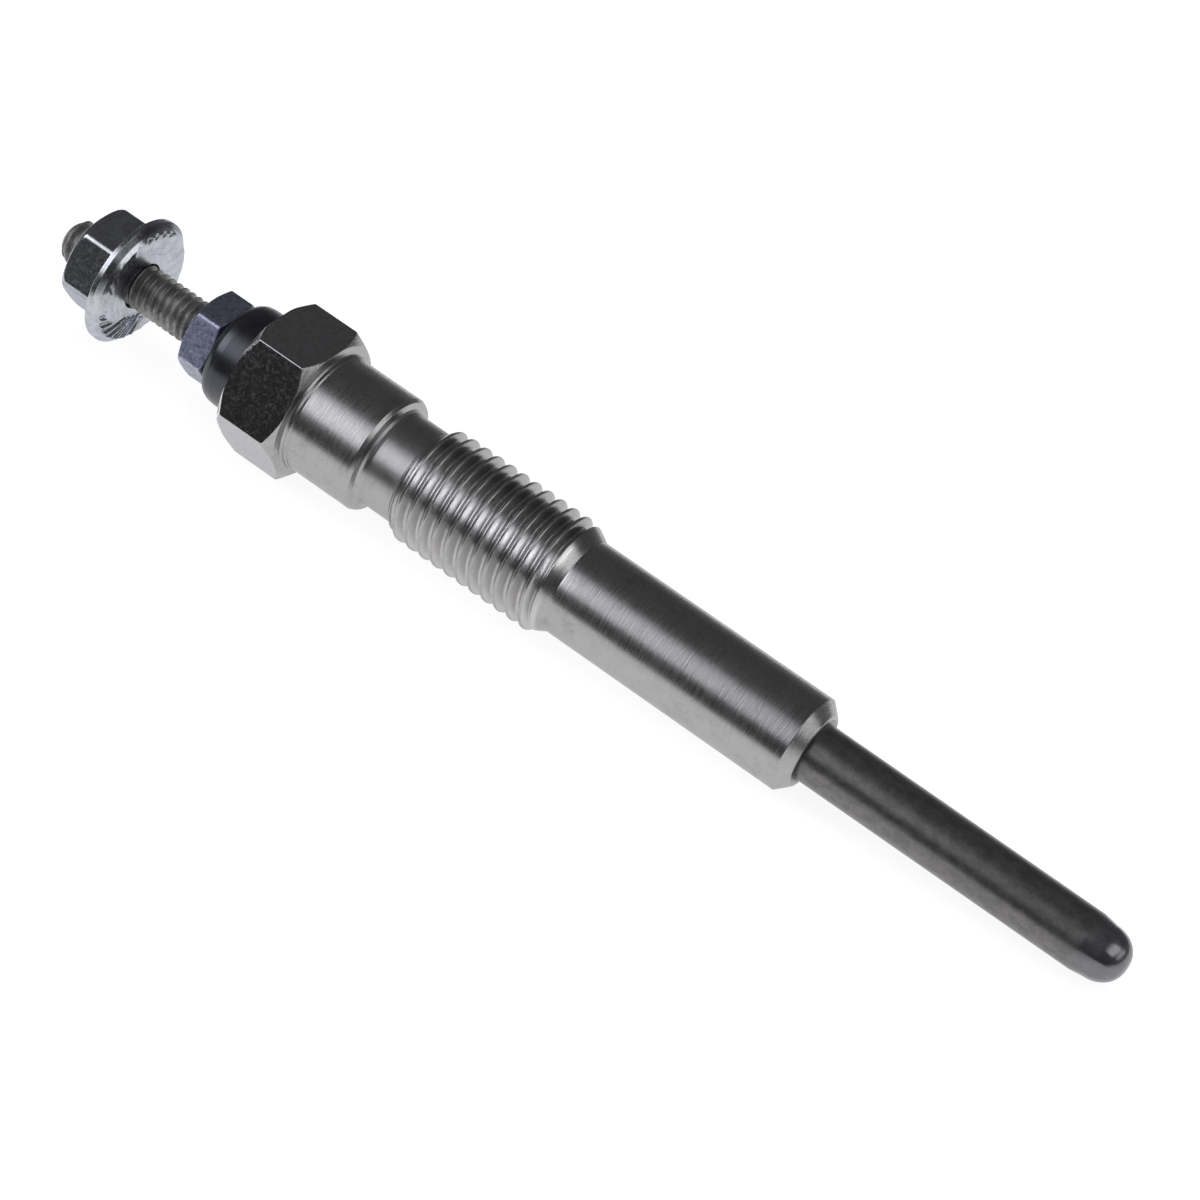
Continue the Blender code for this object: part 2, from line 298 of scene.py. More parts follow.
def nickel():
    made, tree, shader = new_material("nickel_plate")
    n = Nodes(tree)
    at = n.coordinates()
    x, y, z = n.separate(at)[:3]
    away = n.math("ADD", n.math("MULTIPLY", x, x), n.math("MULTIPLY", y, y))
    grooves = n.math("MULTIPLY", n.ramp(z, -0.0172, -0.0168), n.ramp(z, -0.0030, -0.0026, 1, 0))
    grooves = n.math("MULTIPLY", grooves, n.ramp(away, 0.0000228, 0.0000245, 1, 0))
    # lathe marks: short dashes that run round the axis
    dashes = n.noise(n.scaled(at, (480, 480, 6000)), 1.0, 3.0, 0.62)
    fine = n.noise(n.scaled(at, (900, 900, 15000), (0.2, 0.5, 0.1)), 1.0, 2.0, 0.6)
    rings = n.noise(n.scaled(at, (40, 40, 5200), (0.7, 0.1, 0.3)), 1.0, 3.0, 0.6)
    patches = n.noise(n.scaled(at, (300, 300, 240)), 1.0, 4.0, 0.6)
    stains = n.noise(n.scaled(at, (900, 900, 900), (0.3, 0.1, 0.7)), 1.0, 5.0, 0.65, 0.4)
    # the hexagon's flats are drawn, not turned: no lathe marks, fine pits instead
    on_hex = n.math("MULTIPLY", n.ramp(z, -0.0340, -0.0336), n.ramp(z, -0.0280, -0.0274, 1, 0))
    half, slant = n.math("MULTIPLY", x, 0.5), n.math("MULTIPLY", y, 0.8660)
    flat = n.math("MAXIMUM", n.math("ABSOLUTE", n.math("ADD", half, slant)), n.math("ABSOLUTE", n.math("SUBTRACT", half, slant)))
    flat = n.math("MAXIMUM", flat, n.math("ABSOLUTE", x))
    on_hex = n.math("MULTIPLY", on_hex, n.ramp(flat, 0.00592, 0.00598))
    turned = n.math("SUBTRACT", 1.0, on_hex)
    speckle = n.noise(n.scaled(at, (3100, 3100, 3100)), 1.0, 3.0, 0.7, 0.5)
    pits = n.ramp(speckle, 0.42, 0.66)
    tint = n.mix(n.ramp(stains, 0.48, 0.72), (0.378, 0.371, 0.375), (0.31, 0.30, 0.30))
    tint = n.mix(n.math("MULTIPLY", n.ramp(patches, 0.35, 0.7), 0.6), tint, (0.412, 0.405, 0.412))
    tint = n.mix(n.math("MULTIPLY", on_hex, 0.7), tint, (0.375, 0.37, 0.382))
    tint = n.mix(n.math("MULTIPLY", n.math("MULTIPLY", n.ramp(speckle, 0.42, 0.62), on_hex), 0.36), tint, (0.58, 0.57, 0.60))
    # painted highlight: a bright line is painted along the edge round the tail end of the flats
    edge = n.math("MULTIPLY", n.ramp(flat, 0.00576, 0.00586), n.ramp(flat, 0.00596, 0.005985, 1, 0))
    edge = n.math("MULTIPLY", edge, n.ramp(z, -0.0330, -0.0326, 1, 0))
    tint = n.mix(n.math("MULTIPLY", edge, 0.85), tint, (0.93, 0.92, 0.93))
    # painted light: the thread's grooves are lightened on the lower near side and on the upper far side, and the
    # lower near side is also rougher
    side = n.math("SUBTRACT", n.math("MULTIPLY", x, 0.7096), n.math("MULTIPLY", y, 0.7046))
    painted_light_low_grooves = n.math("MULTIPLY", n.ramp(side, 0.0014, 0.0026), grooves)
    painted_light_high_grooves = n.math("MULTIPLY", n.ramp(side, -0.0036, -0.0022), grooves)
    tint = n.mix(n.math("MULTIPLY", painted_light_high_grooves, 0.88), tint, (0.60, 0.595, 0.60))
    tint = n.mix(painted_light_low_grooves, tint, (0.575, 0.565, 0.565))
    n.feed(shader.inputs["Base Color"], tint)
    shader.inputs["Metallic"].default_value = 1.0
    shader.inputs["Specular Tint"].default_value = (0.85, 0.85, 0.86, 1)
    rough = n.ramp(dashes, 0.32, 0.68, 0.24, 0.32, False)
    rough = n.math("ADD", rough, n.math("MULTIPLY", grooves, -0.02))
    rough = n.math("ADD", rough, n.math("MULTIPLY", painted_light_low_grooves, 0.24))
    rough = n.math("ADD", rough, n.math("MULTIPLY", edge, 0.22))
    neck = n.math("MULTIPLY", n.ramp(z, -0.0210, -0.0204), n.ramp(z, -0.0178, -0.0172, 1, 0))
    rough = n.math("ADD", rough, n.math("MULTIPLY", neck, 0.07))
    rough = n.math("ADD", rough, n.ramp(patches, 0.4, 0.8, -0.01, 0.02))
    hex_rough = n.ramp(pits, 0.0, 1.0, 0.11, 0.19, False)
    mixed = n.add("ShaderNodeMix", data_type="FLOAT")
    n.feed(mixed.inputs[0], on_hex)
    n.feed(mixed.inputs[2], rough)
    n.feed(mixed.inputs[3], hex_rough)
    n.feed(shader.inputs["Roughness"], mixed.outputs[0])
    marks = n.math("ADD", n.math("MULTIPLY", dashes, 0.42), n.math("MULTIPLY", fine, 0.28))
    marks = n.math("ADD", marks, n.math("MULTIPLY", rings, 0.20))
    marks = n.math("MULTIPLY", marks, turned)
    pitted = n.math("MULTIPLY", n.math("MULTIPLY", speckle, on_hex), 0.34)
    ground = n.bump(n.math("ADD", marks, pitted), 1.0, 0.000029)
    dents = n.noise(n.scaled(at, (1300, 1300, 1300)), 1.0, 3.0, 0.55)
    n.feed(shader.inputs["Normal"], n.bump(dents, 0.25, 0.000012, ground))
    return made


def sheath_alloy():
    made, tree, shader = new_material("sheath_alloy")
    n = Nodes(tree)
    at = n.coordinates()
    z = n.separate(at)[2]
    cloud = n.noise(n.scaled(at, (1300, 1300, 900)), 1.0, 5.0, 0.66, 0.3)
    grain = n.noise(n.scaled(at, (5200, 5200, 5200)), 1.0, 3.0, 0.7)
    drawn = n.noise(n.scaled(at, (1700, 1700, 120)), 1.0, 3.0, 0.6)
    base = n.mix(n.ramp(cloud, 0.38, 0.64), (0.138, 0.134, 0.136), (0.184, 0.178, 0.174))
    base = n.mix(n.math("MULTIPLY", n.ramp(grain, 0.5, 0.8), 0.4), base, (0.30, 0.295, 0.29))
    # straw and blue where the tip has been hot
    base = n.mix(n.math("MULTIPLY", n.ramp(z, 0.0445, 0.0465), 0.5), base, (0.20, 0.205, 0.235))
    n.feed(shader.inputs["Base Color"], base)
    shader.inputs["Metallic"].default_value = 0.93
    rough = n.ramp(cloud, 0.3, 0.75, 0.32, 0.37, False)
    rough = n.math("SUBTRACT", rough, n.ramp(z, 0.0450, 0.0470, 0.0, 0.085))
    n.feed(shader.inputs["Roughness"], rough)
    height = n.math("ADD", n.math("MULTIPLY", grain, 0.5), n.math("MULTIPLY", drawn, 0.5))
    n.feed(shader.inputs["Normal"], n.bump(height, 0.4, 0.00001))
    return made


def stud_steel():
    made, tree, shader = new_material("stud_steel")
    n = Nodes(tree)
    at = n.coordinates()
    cloud = n.noise(n.scaled(at, (900, 900, 700)), 1.0, 5.0, 0.68)
    grain = n.noise(n.scaled(at, (5200, 5200, 5200)), 1.0, 3.0, 0.7)
    base = n.mix(n.ramp(cloud, 0.38, 0.62), (0.17, 0.167, 0.166), (0.33, 0.326, 0.318))
    base = n.mix(n.math("MULTIPLY", n.ramp(grain, 0.5, 0.75), 0.4), base, (0.42, 0.415, 0.41))
    z = n.separate(at)[2]
    # painted shade: the stud is darkened next to the flange nut's face
    painted_shade_near_flange = n.math("MULTIPLY", n.ramp(z, -0.0500, -0.0490), n.ramp(z, -0.0472, -0.0436, 0.45, 0.0))
    base = n.mix(painted_shade_near_flange, base, (0.085, 0.083, 0.083))
    n.feed(shader.inputs["Base Color"], base)
    shader.inputs["Metallic"].default_value = 0.85
    n.feed(shader.inputs["Roughness"], n.ramp(grain, 0.3, 0.7, 0.40, 0.55, False))
    n.feed(shader.inputs["Normal"], n.bump(n.math("ADD", cloud, grain), 0.5, 0.00001))
    return made


def zinc(name, light, dark, low, high, facing=None, metallic=1.0, with_painted_shade=False):
    """Electroplated zinc: mottled, faintly blue, and bluer where it is seen square on."""
    made, tree, shader = new_material(name)
    n = Nodes(tree)
    at = n.coordinates()
    cloud = n.noise(n.scaled(at, (1000, 1000, 1000)), 1.0, 4.0, 0.62, 0.6)
    grain = n.noise(n.scaled(at, (3200, 3200, 3200)), 1.0, 3.0, 0.65)
    base = n.mix(n.ramp(cloud, 0.38, 0.66), light, dark)
    base = n.mix(n.math("MULTIPLY", n.ramp(grain, 0.5, 0.75), 0.5), base, light)
    if with_painted_shade:
        x, y, z = n.separate(at)[:3]
        away = n.math("ADD", n.math("MULTIPLY", x, x), n.math("MULTIPLY", y, y))
        # painted shade: the rim's bevel is darkened, except on its lower near side
        painted_shade_bevel = n.math("MULTIPLY", n.ramp(z, -0.04763, -0.04755), n.ramp(z, -0.04726, -0.04719, 1, 0))
        painted_shade_bevel = n.math("MULTIPLY", painted_shade_bevel, n.ramp(away, 0.0000265, 0.0000273))
        lower = n.math("SUBTRACT", n.math("MULTIPLY", x, 0.7096), n.math("MULTIPLY", y, 0.7046))
        painted_shade_bevel = n.math("MULTIPLY", painted_shade_bevel, n.ramp(lower, 0.0020, 0.0030, 0.66, 0.0))
        base = n.mix(painted_shade_bevel, base, (0.105, 0.105, 0.120))
        # painted shade: the lower near side of the hexagon is darkened
        under = n.math("MULTIPLY", n.ramp(lower, 0.0031, 0.0036, 0.0, 0.68), n.ramp(z, -0.0490, -0.0486, 1, 0))
        base = n.mix(under, base, (0.30, 0.31, 0.33))
    if facing:
        weight = n.add("ShaderNodeLayerWeight")
        weight.inputs["Blend"].default_value = 0.5
        base = n.mix(n.ramp(weight.outputs["Facing"], 0.1, 0.75, 0.75, 0.0), base, facing)
        spots = n.noise(n.scaled(at, (3300, 3300, 3300)), 1.0, 4.0, 0.7, 0.4)
        base = n.mix(n.ramp(spots, 0.40, 0.62, 0.0, 0.58), base, (0.17, 0.18, 0.27))
    n.feed(shader.inputs["Base Color"], base)
    shader.inputs["Metallic"].default_value = metallic
    shader.inputs["Specular Tint"].default_value = (0.74, 0.76, 0.82, 1)
    n.feed(shader.inputs["Roughness"], n.ramp(grain, 0.3, 0.75, low, high, False))
    height = n.math("ADD", n.math("MULTIPLY", cloud, 0.6), n.math("MULTIPLY", grain, 0.4))
    n.feed(shader.inputs["Normal"], n.bump(height, 0.5, 0.00002))
    return made


def black_moulding():
    made, tree, shader = new_material("black_phenolic")
    n = Nodes(tree)
    at = n.coordinates()
    cloud = n.noise(n.scaled(at, (500, 500, 500)), 1.0, 4.0, 0.6)
    turned = n.noise(n.scaled(at, (60, 60, 7000)), 1.0, 3.0, 0.6)
    grain = n.noise(n.scaled(at, (5000, 5000, 5000)), 1.0, 2.0, 0.6)
    n.feed(shader.inputs["Base Color"], n.mix(n.ramp(cloud, 0.3, 0.7), (0.004, 0.004, 0.005), (0.009, 0.009, 0.011)))
    shader.inputs["Metallic"].default_value = 0.0
    shader.inputs["IOR"].default_value = 1.70
    shader.inputs["Specular Tint"].default_value = (0.82, 0.86, 1.0, 1)
    n.feed(shader.inputs["Roughness"], n.ramp(cloud, 0.3, 0.7, 0.24, 0.33, False))
    height = n.math("ADD", n.math("MULTIPLY", turned, 0.5), n.math("MULTIPLY", grain, 0.5))
    n.feed(shader.inputs["Normal"], n.bump(height, 0.2, 0.00001))
    return made


def plain(name, one, two, rough, metallic=0.0, scale=1500.0):
    made, tree, shader = new_material(name)
    n = Nodes(tree)
    at = n.coordinates()
    cloud = n.noise(n.scaled(at, (scale,) * 3), 1.0, 4.0, 0.6)
    n.feed(shader.inputs["Base Color"], n.mix(n.ramp(cloud, 0.35, 0.65), one, two))
    shader.inputs["Metallic"].default_value = metallic
    n.feed(shader.inputs["Roughness"], n.ramp(cloud, 0.3, 0.7, rough - 0.05, rough + 0.08, False))
    n.feed(shader.inputs["Normal"], n.bump(cloud, 0.3, 0.00001))
    return made


NICKEL = nickel()
SHEATH = sheath_alloy()
STUD = stud_steel()
# the flange nut's zinc carries painted shade on its rim bevel and its lower faces
ZINC = zinc("zinc_plate", (0.50, 0.515, 0.555), (0.38, 0.39, 0.42), 0.18, 0.295, with_painted_shade=True)
BLUE_ZINC = zinc(
    "blue_zinc_plate", (0.50, 0.51, 0.54), (0.30, 0.31, 0.345), 0.32, 0.50, (0.41, 0.44, 0.64)
)
BLACK = black_moulding()
RUBBER = plain("black_rubber", (0.018, 0.018, 0.018), (0.035, 0.035, 0.035), 0.7)
POWDER = plain("magnesia", (0.80, 0.79, 0.75), (0.9, 0.89, 0.87), 0.88)
WIRE = plain("resistance_wire", (0.40, 0.38, 0.36), (0.55, 0.53, 0.5), 0.36, 1.0)

# ------------------------------------------------------------------ body shell
PITCH, CREST_R, ROOT_R = 1.25, 5.00, 4.28
THREAD_PHASE = 0.43  # turns


def metric_thread(phase, pitch, crest, root, soft):
    """Radius of a 60 degree thread with a narrow crest and a rounded root."""
    x = np.abs((phase % 1.0) - 0.5) * pitch
    flank = crest - 1.732 * (x - 0.068 * pitch)
    return -smooth_min(-flank, -root, soft)


def body_surface():
    offsets = [0, 0.22, 0.45, 0.75, 1.4, 3.0, 5.5, 8.5, 11.5, 14.5, 17.5, 20.5, 23.5, 26.5, 30]
    theta = hex_angles(0.0, offsets)
    inner = [
        (20.60, 2.88, 0.05),
        (18.85, 2.88, 0.0),
        (18.60, 2.55, 0.0),
        (-27.4, 2.55, 0.0),
        (-28.0, 3.40, 0.0),
        (-33.58, 3.40, 0.05),
    ]
    outer = [
        (-33.56, 6.17, 0.10),
        (-32.64, 7.10, 0.0),
        (-28.66, 7.10, 0.0),
        (-27.86, 6.00, 0.10),
        (-27.72, 5.35, 0.04),
        (-27.57, 5.26, 0.04),
        (-27.34, 5.24, 0.02),
        (-27.22, 5.17, 0.03),
        (-26.95, 5.17, 0.0),
        (-21.40, 5.17, 0.03),
        (-21.07, 4.98, 0.03),
        (-20.92, 4.48, 0.05),
        (-20.74, 4.27, 0.08),
        (-20.42, 4.18, 0.12),
        (-17.62, 4.18, 0.06),
        (-16.85, 4.93, 0.0),
        (-15.5, 5.00, 0.0),
        (-3.75, 5.00, 0.10),
        (-2.22, 4.15, 0.04),
        (-2.12, 4.10, 0.04),
        (-1.95, 4.12, 0.0),
        (19.60, 4.12, 0.07),
        (20.52, 3.22, 0.06),
        (20.60, 3.10, 0.05),
    ]
    line = fillet_line(inner[-1:] + outer + inner[:1], per_arc=5)
    # rows: fine where the hexagon is chamfered and along the thread, coarse elsewhere
    rows = []
    for p, q in zip(line, line[1:]):
        middle = (p[0] + q[0]) / 2
        if -33.6 < middle < -32.4 or -29.2 < middle < -27.2:
            step = 0.052
        elif -17.65 < middle < -1.9:
            step = 0.057
        elif -27.3 < middle < 20:
            step = 1.6
        else:
            step = 0.8
        if abs(q[0] - p[0]) < 1e-4 and abs(q[1] - p[1]) > 1:
            step = 0.9
        rows.extend(densify([p, q], step)[:-1])
    rows.append(line[-1])
    rows = rows[:-1] + densify([line[-1]] + [(a, b) for a, b, _ in inner[1:]], 12.0)[:-1]
    rows = [p for i, p in enumerate(rows) if i == 0 or math.dist(p, rows[i - 1]) > 1e-5]
    s0 = np.array([p[0] for p in rows])[:, None] * np.ones_like(theta)[None, :]
    r0 = np.array([p[1] for p in rows])[:, None] * np.ones_like(theta)[None, :]
    angle = np.ones_like(s0) * theta[None, :]
    outside = np.array([i < len(rows) - 0 for i in range(len(rows))])[:, None]
    # hexagon
    hexagon = hex_radius(angle, HEX_AF, 0.0, 0.13)
    zone = (s0 > -33.80) & (s0 < -27.5) & (r0 > 5.2)
    r = np.where(zone, smooth_min(r0, hexagon, 0.11), r0)
    # thread
    phase = s0 / PITCH - angle / (2 * math.pi) + THREAD_PHASE
    cut = metric_thread(phase, PITCH, CREST_R, ROOT_R, 0.10) + 0.9 * smooth_step(s0, -3.5, -2.4)
    zone = (s0 > -17.63) & (s0 < -2.4) & (r0 > 4.0)
    r = np.where(zone, smooth_min(r, cut, 0.04), r)
    return grid_piece("body", s0, r, theta, close=True, material=NICKEL)


body = body_surface()
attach(body, "plug")
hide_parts("body_shell")


# ------------------------------------------------------------------ heater sheath
def sheath_surface():
    outer = [
        (4.0, 2.34, 0.05),
        (4.2, 2.49, 0.0),
        (45.4, 2.42, 0.5),
        (46.55, 2.26, 0.4),
    ]
    line = fillet_line([(4.0, 2.0)] + outer, per_arc=6)
    tip = []
    for k in range(1, 25):  # swaged shoulder into a slightly flattened dome
        t = k / 24
        a = t * math.pi / 2
        tip.append((46.55 + (TIP_S - 46.55) * math.sin(a) ** 1.02, 2.26 * math.cos(a) ** 0.86))
    tip[-1] = (TIP_S, 0.02)
    line = densify(line, 1.5) + tip
    inner = [(TIP_S - 0.9, 0.02), (47.1, 1.55), (46.0, 2.0), (4.0, 2.0)]
    cols = 128
    theta = np.arange(cols) * 2 * math.pi / cols
    rows = inner + line[1:]
    s0 = np.array([p[0] for p in rows])[:, None] * np.ones((1, cols))
    r0 = np.array([p[1] for p in rows])[:, None] * np.ones((1, cols))
    # faint flats that the swaging jaws leave
    depth = smooth_step(s0, 45.2, 46.2) * (1 - smooth_step(s0, 47.3, 48.2)) * (r0 > 2.05)
    angle = theta[None, :] * np.ones_like(s0)
    facets = np.abs(np.sin(angle * 8 + 0.4)) * 0.022 + np.sin(angle * 3 + 1.0) * 0.012
    return grid_piece(
        "sheath", s0, r0 - depth * facets, theta, material=SHEATH, pole_start=True, pole_end=True
    )


sheath = sheath_surface()
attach(sheath, "plug")
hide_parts("heater_sheath")


# ------------------------------------------------------------------ centre rod and stud
STUD_PITCH, STUD_CREST, STUD_ROOT = 0.7, 1.95, 1.58
STUD_PHASE = 0.0


def rod_surface():
    cols = 84
    theta = np.arange(cols) * 2 * math.pi / cols
    line = fillet_line(
        [
            (STUD_END_S, 0.02),
            (STUD_END_S, 1.28, 0.10),
            (STUD_END_S + 0.62, 1.95, 0.0),
            (-35.9, 1.95, 0.0),
            (-35.5, 1.70, 0.0),
            (1.6, 1.70, 0.0),
            (2.2, 1.30, 0.0),
            (15.8, 1.30, 0.1),
            (16.0, 1.10, 0.0),
            (16.0, 0.02),
        ],
        per_arc=4,
        support=0.03,
    )
    rows = []
    for p, q in zip(line, line[1:]):
        middle = (p[0] + q[0]) / 2
        step = 0.034 if STUD_END_S < middle < -36 else 6.0
        rows.extend(densify([p, q], step)[:-1])
    rows.append(line[-1])
    s0 = np.array([p[0] for p in rows])[:, None] * np.ones((1, cols))
    r0 = np.array([p[1] for p in rows])[:, None] * np.ones((1, cols))
    angle = theta[None, :] * np.ones_like(s0)
    phase = s0 / STUD_PITCH - angle / (2 * math.pi) + STUD_PHASE
    cut = metric_thread(phase, STUD_PITCH, STUD_CREST, STUD_ROOT, 0.07)
    fade = smooth_step(s0, -36.4, -36.0)
    cut = cut * (1 - fade) + 3 * fade
    r = smooth_min(r0, cut, 0.03)
    return grid_piece("stud", s0, r, theta, material=STUD, pole_start=True, pole_end=True)


stud = rod_surface()
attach(stud, "plug")
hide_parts("centre_rod")


# ------------------------------------------------------------------ insulating bush
def bush_surface():
    cols = 128
    theta = np.arange(cols) * 2 * math.pi / cols
    line = fillet_line(
        [
            (-37.10, 2.02, 0.05),
            (-37.10, 3.92, 0.35),
            (-36.74, 4.34, 0.4),
            (-36.36, 4.50, 0.6),
            (-35.80, 4.56, 0.9),
            (-33.83, 4.57, 0.06),
            (-33.83, 3.32, 0.0),
            (-29.6, 3.32, 0.1),
            (-29.6, 2.02, 0.0),
        ],
        per_arc=8,
    )
    line = densify(line, 0.9)[:-1]
    s0 = np.array([p[0] for p in line])[:, None] * np.ones((1, cols))
    r0 = np.array([p[1] for p in line])[:, None] * np.ones((1, cols))
    return grid_piece("bush", s0, r0, theta, close=True, material=BLACK)


bush = bush_surface()
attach(bush, "plug")
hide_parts("insulating_bush")


# ------------------------------------------------------------------ nuts
def hex_nut_surface():
    turn = 3.8
    offsets = [0, 0.4, 0.8, 1.3, 2.4, 4.5, 8, 12, 17, 23, 30]
    theta = hex_angles(turn, offsets)
    line = fillet_line(
        [
            (-39.98, 2.03, 0.0),
            (-39.98, 3.42, 0.12),
            (-39.45, 4.30, 0.0),
            (-37.65, 4.30, 0.0),
            (-37.22, 3.50, 0.06),
            (-37.22, 2.03, 0.0),
        ],
        per_arc=4,
    )
    rows = []
    for p, q in zip(line, line[1:]):
        step = 0.028 if max(p[1], q[1]) > 3.3 and abs(q[0] - p[0]) < 1.0 else 0.35
        rows.extend(densify([p, q], step)[:-1])
    s0 = np.array([p[0] for p in rows])[:, None] * np.ones_like(theta)[None, :]
    r0 = np.array([p[1] for p in rows])[:, None] * np.ones_like(theta)[None, :]
    angle = np.ones_like(s0) * theta[None, :]
    r = np.where(r0 > 2.5, smooth_min(r0, hex_radius(angle, 7.0, turn, 0.38), 0.05), r0)
    return grid_piece("hex_nut", s0, r, theta, close=True, material=BLUE_ZINC)


hex_nut = hex_nut_surface()
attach(hex_nut, "plug")
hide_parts("terminal_hex_nut")

TEETH = 30


def flange_nut_surface():
    turn = 4.3
    corner = [0, 0.7, 1.4, 2.1, 2.8, 3.6, 4.8]
    found = set()
    for k in range(6):
        for o in corner:
            found.add(round((turn + 30 + 60 * k + o) % 360, 3))
            found.add(round((turn + 30 + 60 * k - o) % 360, 3))
    for k in range(TEETH * 10):
        a = round(k * 360 / (TEETH * 10), 3)
        if min(abs((a - b + 180) % 360 - 180) for b in found) > 0.35:
            found.add(a)
    theta = np.radians(np.array(sorted(found)))
    line = fillet_line(
        [
            (-52.15, 2.03, 0.0),
            (-52.15, 3.55, 0.25),
            (-51.80, 4.30, 0.35),
            (-50.95, 4.95, 0.0),
            (-48.75, 4.95, 0.0),
            (-48.36, 5.06, 0.10),
            (-48.05, 5.67, 0.08),
            (-47.61, 5.67, 0.05),
            (-47.20, 5.21, 0.04),
            (-46.84, 4.96, 0.04),
            (-46.84, 3.66, 0.03),
            (-46.89, 3.58, 0.03),
            (-46.89, 3.10, 0.03),
            (-46.97, 2.98, 0.03),
            (-46.95, 2.13, 0.03),
            (-47.05, 2.03, 0.0),
        ],
        per_arc=5,
    )
    rows = []
    for p, q in zip(line, line[1:]):
        middle = (p[0] + q[0]) / 2
        if middle < -50.7 and max(p[1], q[1]) > 3.4:
            step = 0.045
        elif middle < -48.3:
            step = 0.05 if middle > -48.85 else 0.5
        elif abs(q[0] - p[0]) < 0.02:
            step = 0.13
        else:
            step = 0.10
        rows.extend(densify([p, q], step)[:-1])
    s0 = np.array([p[0] for p in rows])[:, None] * np.ones_like(theta)[None, :]
    r0 = np.array([p[1] for p in rows])[:, None] * np.ones_like(theta)[None, :]
    angle = np.ones_like(s0) * theta[None, :]
    hexagon = hex_radius(angle, 8.0, turn, 0.62)
    # the flats run out in a fillet under the flange
    fill = smooth_step(s0, -48.64, -48.30)
    r = smooth_min(r0, hexagon, 0.20) * (1 - fill) + r0 * fill
    r = np.where((s0 < -48.3) & (r0 > 3.0), r, r0)
    # radial serrations: a short step and a long ramp
    # the teeth lean: they sweep backwards as they run out
    swept = angle + 0.80 * np.log(np.maximum(r0, 2.0) / 3.2)
    phase = (swept * TEETH / (2 * math.pi)) % 1.0
    ramp = np.where(phase < 0.32, phase / 0.32, (1 - phase) / 0.68)
    face = (s0 > -47.06) & (r0 > 2.5)
    turned = (np.degrees(angle) - 225.2 - 97 + 540) % 360 - 180
    start = 2.62 + 1.5 * (1 - smooth_step(turned, -38, 14))
    band = smooth_step(r0, start, start + 0.4) * np.clip((s0 + 47.05) / 0.20, 0, 1)
    # worn smooth nearly all round, still sharp on one side and at the edge of another
    from_sharp = np.abs(turned)
    from_edge = np.abs((np.degrees(angle) - 225.2 + 62 + 540) % 360 - 180)
    left = 0.14 + 0.86 * (1 - smooth_step(from_sharp, 36, 58))
    left = np.maximum(left, 0.75 * (1 - smooth_step(from_edge, 20, 28)) * smooth_step(r0, 4.35, 4.9))
    s = np.where(face, s0 - 0.31 * (1 - ramp) * band * left, s0)
    return grid_piece("flange_nut", s, r, theta, close=True, material=ZINC)


flange_nut = flange_nut_surface()
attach(flange_nut, "terminal_nut")
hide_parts("terminal_flange_nut")

# ------------------------------------------------------------------ pieces inside, kept from the frame
for node, finish in (
    ("sheath_seal", RUBBER),
    ("body_seal_ring", RUBBER),
    ("magnesia_fill", POWDER),
    ("regulating_coil", WIRE),
    ("heating_coil", WIRE),
):
    inside = bpy.data.objects[node]
    inside.data.materials.clear()
    inside.data.materials.append(finish)

# ------------------------------------------------------------------ floor, light and camera
floor_mesh = bpy.data.meshes.new("floor")
floor_mesh.from_pydata([(-3, -3, 0), (3, -3, 0), (3, 3, 0), (-3, 3, 0)], [], [(0, 1, 2, 3)])
floor = bpy.data.objects.new("floor", floor_mesh)
bpy.context.scene.collection.objects.link(floor)
paper, tree, shader = new_material("pale_floor")
shader.inputs["Base Color"].default_value = (0.18, 0.18, 0.18, 1)
shader.inputs["Roughness"].default_value = 0.9
shader.inputs["Specular IOR Level"].default_value = 0.0
shader.inputs["Emission Color"].default_value = (1, 1, 1, 1)
shader.inputs["Emission Strength"].default_value = 0.90  # a light table
floor_mesh.materials.append(paper)

# a black flag on the table, seen only in the metal: the table's dark edge
flag_mesh = bpy.data.meshes.new("flag")
flag_mesh.from_pydata(
    [
        (-1.2, -1.4, 0.0004), (1.2, -1.4, 0.0004), (1.2, -0.034, 0.0004), (-1.2, -0.034, 0.0004),
        (0.16, -0.034, 0.0004), (1.2, -0.034, 0.0004), (1.2, 1.4, 0.0004), (0.16, 1.4, 0.0004),
        (-1.2, 0.055, 0.0004), (0.16, 0.055, 0.0004), (0.16, 1.4, 0.0004), (-1.2, 1.4, 0.0004),
    ],
    [],
    [(0, 1, 2, 3), (4, 5, 6, 7), (8, 9, 10, 11)],
)
flag = bpy.data.objects.new("flag", flag_mesh)
bpy.context.scene.collection.objects.link(flag)
black, tree, shader = new_material("black_flag")
shader.inputs["Base Color"].default_value = (0.012, 0.012, 0.012, 1)
shader.inputs["Roughness"].default_value = 0.9
shader.inputs["Specular IOR Level"].default_value = 0.0
flag_mesh.materials.append(black)
grey, tree, shader = new_material("grey_flag")
shader.inputs["Base Color"].default_value = (0.012, 0.012, 0.012, 1)
shader.inputs["Roughness"].default_value = 0.9
shader.inputs["Specular IOR Level"].default_value = 0.0
shader.inputs["Emission Color"].default_value = (1, 1, 1, 1)
shader.inputs["Emission Strength"].default_value = 0.17
flag_mesh.materials.append(grey)
flag_mesh.polygons[2].material_index = 1
flag.visible_camera = False
flag.visible_diffuse = False
flag.visible_shadow = False
flag.visible_transmission = False

world = bpy.data.worlds.new("studio")
bpy.context.scene.world = world
world.use_nodes = True
wt = world.node_tree
background = wt.nodes["Background"]
